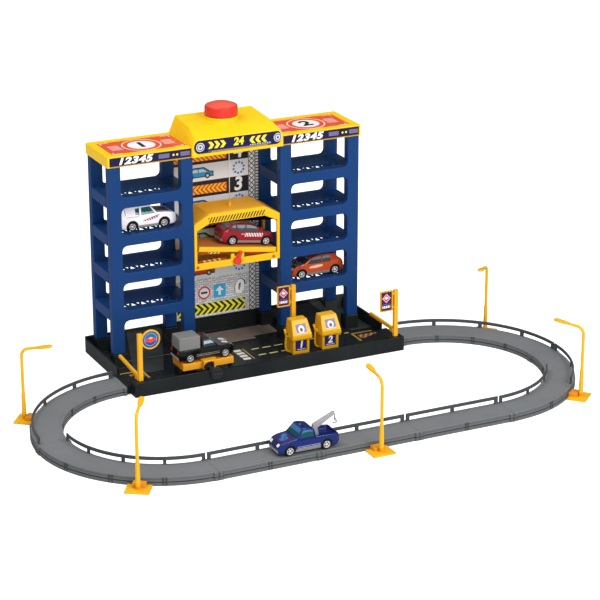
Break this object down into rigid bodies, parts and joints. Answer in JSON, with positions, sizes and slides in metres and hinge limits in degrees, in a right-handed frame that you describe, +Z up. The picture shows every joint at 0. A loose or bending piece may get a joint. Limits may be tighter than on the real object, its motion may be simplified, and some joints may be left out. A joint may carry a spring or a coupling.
{
  "type": "toy parking garage",
  "caption": "Toy parking garage: two open towers with decks, a lift between them on a string winch, service yard, barriers, pumps, a track loop with lamps, and toy cars.",
  "frame": {"origin": "middle of the base tray's underside", "axes": "+X along the garage's front from left to right, +Y to the back, +Z up"},
  "size_m": [0.6404, 0.4202, 0.2928],
  "materials": {
    "charcoal_plastic": "satin",
    "blue_plastic": "satin",
    "yellow_plastic": "gloss",
    "orange_plastic": "gloss",
    "amber_plastic": "gloss",
    "red_plastic": "gloss",
    "white_plastic": "matte",
    "dial_plastic": "satin",
    "track_plastic": "satin",
    "printed_panel": "printed, satin",
    "white_cord": "braided",
    "wheel_rubber": "matte",
    "white_paint": "gloss",
    "orange_paint": "gloss",
    "red_paint": "gloss",
    "black_paint": "gloss",
    "blue_paint": "gloss"
  },
  "bodies": {
    "root": {"base_tray": "charcoal_plastic", "left_front_frame": "blue_plastic", "left_rear_frame": "blue_plastic", "right_front_frame": "blue_plastic", "right_rear_frame": "blue_plastic", "left_deck_1": "blue_plastic", "left_deck_2": "blue_plastic", "left_deck_3": "blue_plastic", "left_deck_4": "blue_plastic", "right_deck_1": "blue_plastic", "right_deck_2": "blue_plastic", "right_deck_3": "blue_plastic", "right_deck_4": "blue_plastic", "left_roof": "yellow_plastic", "right_roof": "yellow_plastic", "lift_hood": "yellow_plastic", "shaft_panel": "printed_panel", "hoist_string": "white_cord", "left_barrier_post": "amber_plastic", "right_barrier_post": "amber_plastic", "pump_sign_post": "amber_plastic", "fuel_pump_1": "amber_plastic", "fuel_pump_2": "amber_plastic", "track_curve_1": "track_plastic", "track_curve_2": "track_plastic", "track_curve_3": "track_plastic", "track_curve_4": "track_plastic", "track_straight_1": "track_plastic", "track_straight_2": "track_plastic", "track_straight_3": "track_plastic", "street_lamp_a": "amber_plastic", "street_lamp_b": "amber_plastic", "street_lamp_c": "amber_plastic", "street_lamp_d": "amber_plastic", "street_lamp_e": "amber_plastic"},
    "winch": {"winch_knob": "red_plastic", "winch_spool": "white_plastic"},
    "lift": {"lift_cage": "orange_plastic", "lift_front": "yellow_plastic"},
    "tray": {"lift_tray": "yellow_plastic"},
    "lever": {"tray_lever": "red_plastic"},
    "platform": {"service_platform": "orange_plastic"},
    "service_dial": {"service_knob": "dial_plastic"},
    "left_boom": {"left_barrier_boom": "amber_plastic"},
    "right_boom": {"right_barrier_boom": "amber_plastic"},
    "offroader": {"offroader_body": "white_paint"},
    "offroader_left_axle": {"offroader_left_wheels": "wheel_rubber"},
    "offroader_right_axle": {"offroader_right_wheels": "wheel_rubber"},
    "orange_hatch": {"orange_hatch_body": "orange_paint"},
    "orange_hatch_left_axle": {"orange_hatch_left_wheels": "wheel_rubber"},
    "orange_hatch_right_axle": {"orange_hatch_right_wheels": "wheel_rubber"},
    "red_hatch": {"red_hatch_body": "red_paint"},
    "red_hatch_left_axle": {"red_hatch_left_wheels": "wheel_rubber"},
    "red_hatch_right_axle": {"red_hatch_right_wheels": "wheel_rubber"},
    "pickup": {"pickup_body": "black_paint"},
    "pickup_left_axle": {"pickup_left_wheels": "wheel_rubber"},
    "pickup_right_axle": {"pickup_right_wheels": "wheel_rubber"},
    "tow_truck": {"tow_truck_body": "blue_paint"},
    "tow_truck_left_axle": {"tow_truck_left_wheels": "wheel_rubber"},
    "tow_truck_right_axle": {"tow_truck_right_wheels": "wheel_rubber"}
  },
  "joints": [
    {"name": "lift_slide", "type": "slide", "parent": "root", "child": "lift", "axis": [0, 0, 1], "range_m": [-0.102, 0.087], "deforming": ["hoist_string"]},
    {"name": "winch_turn", "type": "hinge", "parent": "root", "child": "winch", "pos_m": [-0.006, 0.0468, 0.277], "axis": [0, 0, 1], "range_deg": [-460, 540]},
    {"name": "tray_tilt", "type": "hinge", "parent": "lift", "child": "tray", "pos_m": [-0.0046, 0.0268, 0.1223], "axis": [0, 1, 0], "range_deg": [-16.6, 0]},
    {"name": "lever_turn", "type": "hinge", "parent": "lift", "child": "lever", "pos_m": [-0.003, 0.0071, 0.118], "axis": [0, 1, 0], "range_deg": [-48.5, 0]},
    {"name": "service_lift", "type": "slide", "parent": "root", "child": "platform", "axis": [0, 0, 1], "range_m": [-0.00707, 0]},
    {"name": "service_knob_turn", "type": "hinge", "parent": "root", "child": "service_dial", "pos_m": [-0.072, -0.0792, 0.0139], "axis": [0, 1, 0], "range_deg": [0, 90.5]},
    {"name": "left_boom_swing", "type": "hinge", "parent": "root", "child": "left_boom", "pos_m": [-0.161, -0.0667, 0.0204], "axis": [1, 0, 0], "range_deg": [-4.6, 80]},
    {"name": "right_boom_swing", "type": "hinge", "parent": "root", "child": "right_boom", "pos_m": [0.161, -0.0667, 0.0245], "axis": [1, 0, 0], "range_deg": [0, 84]},
    {"name": "offroader_roll", "type": "slide", "parent": "root", "child": "offroader", "axis": [1, 0, 0], "range_m": [-0.015, 0.015]},
    {"name": "offroader_left_axle_turn", "type": "hinge", "parent": "offroader", "child": "offroader_left_axle", "pos_m": [-0.13, 0.0318, 0.1666], "axis": [0, 1, 0], "range_deg": [-164, 164]},
    {"name": "offroader_right_axle_turn", "type": "hinge", "parent": "offroader", "child": "offroader_right_axle", "pos_m": [-0.091, 0.0318, 0.1666], "axis": [0, 1, 0], "range_deg": [-164, 164]},
    {"name": "orange_hatch_roll", "type": "slide", "parent": "root", "child": "orange_hatch", "axis": [1, 0, 0], "range_m": [-0.02, 0.012]},
    {"name": "orange_hatch_left_axle_turn", "type": "hinge", "parent": "orange_hatch", "child": "orange_hatch_left_axle", "pos_m": [0.0835, 0.0318, 0.0768], "axis": [0, 1, 0], "range_deg": [-218, 131]},
    {"name": "orange_hatch_right_axle_turn", "type": "hinge", "parent": "orange_hatch", "child": "orange_hatch_right_axle", "pos_m": [0.1275, 0.0318, 0.0768], "axis": [0, 1, 0], "range_deg": [-218, 131]},
    {"name": "red_hatch_roll", "type": "slide", "parent": "tray", "child": "red_hatch", "axis": [0.9895, 0, -0.1444], "range_m": [-0.03, 0]},
    {"name": "red_hatch_left_axle_turn", "type": "hinge", "parent": "red_hatch", "child": "red_hatch_left_axle", "pos_m": [-0.00728, 0.0291, 0.133], "axis": [0, 1, 0], "range_deg": [-326, 1]},
    {"name": "red_hatch_right_axle_turn", "type": "hinge", "parent": "red_hatch", "child": "red_hatch_right_axle", "pos_m": [0.03576, 0.0291, 0.12672], "axis": [0, 1, 0], "range_deg": [-326, 1]},
    {"name": "pickup_roll", "type": "slide", "parent": "platform", "child": "pickup", "axis": [1, 0, 0], "range_m": [-0.004, 0.004]},
    {"name": "pickup_left_axle_turn", "type": "hinge", "parent": "pickup", "child": "pickup_left_axle", "pos_m": [-0.091, -0.0377, 0.0241], "axis": [0, 1, 0], "range_deg": [-45, 45]},
    {"name": "pickup_right_axle_turn", "type": "hinge", "parent": "pickup", "child": "pickup_right_axle", "pos_m": [-0.0475, -0.0377, 0.0241], "axis": [0, 1, 0], "range_deg": [-45, 45]},
    {"name": "tow_truck_roll", "type": "slide", "parent": "root", "child": "tow_truck", "axis": [1, 0, 0], "range_m": [-0.065, 0.2]},
    {"name": "tow_truck_left_axle_turn", "type": "hinge", "parent": "tow_truck", "child": "tow_truck_left_axle", "pos_m": [-0.093, -0.30355, 0.0151], "axis": [0, 1, 0], "range_deg": [-704, 2164]},
    {"name": "tow_truck_right_axle_turn", "type": "hinge", "parent": "tow_truck", "child": "tow_truck_right_axle", "pos_m": [-0.0505, -0.30355, 0.0151], "axis": [0, 1, 0], "range_deg": [-704, 2164]}
  ],
  "couplings": [
    {"joint": "winch_turn", "follows": "lift_slide", "rad_per_m": -91.743},
    {"joint": "lever_turn", "follows": "tray_tilt", "ratio": 2.9},
    {"joint": "service_knob_turn", "follows": "service_lift", "rad_per_m": -222.18},
    {"joint": "offroader_left_axle_turn", "follows": "offroader_roll", "rad_per_m": 188.68},
    {"joint": "offroader_right_axle_turn", "follows": "offroader_roll", "rad_per_m": 188.68},
    {"joint": "orange_hatch_left_axle_turn", "follows": "orange_hatch_roll", "rad_per_m": 188.68},
    {"joint": "orange_hatch_right_axle_turn", "follows": "orange_hatch_roll", "rad_per_m": 188.68},
    {"joint": "red_hatch_left_axle_turn", "follows": "red_hatch_roll", "rad_per_m": 188.68},
    {"joint": "red_hatch_right_axle_turn", "follows": "red_hatch_roll", "rad_per_m": 188.68},
    {"joint": "pickup_left_axle_turn", "follows": "pickup_roll", "rad_per_m": 188.68},
    {"joint": "pickup_right_axle_turn", "follows": "pickup_roll", "rad_per_m": 188.68},
    {"joint": "tow_truck_left_axle_turn", "follows": "tow_truck_roll", "rad_per_m": 188.68},
    {"joint": "tow_truck_right_axle_turn", "follows": "tow_truck_roll", "rad_per_m": 188.68}
  ]
}
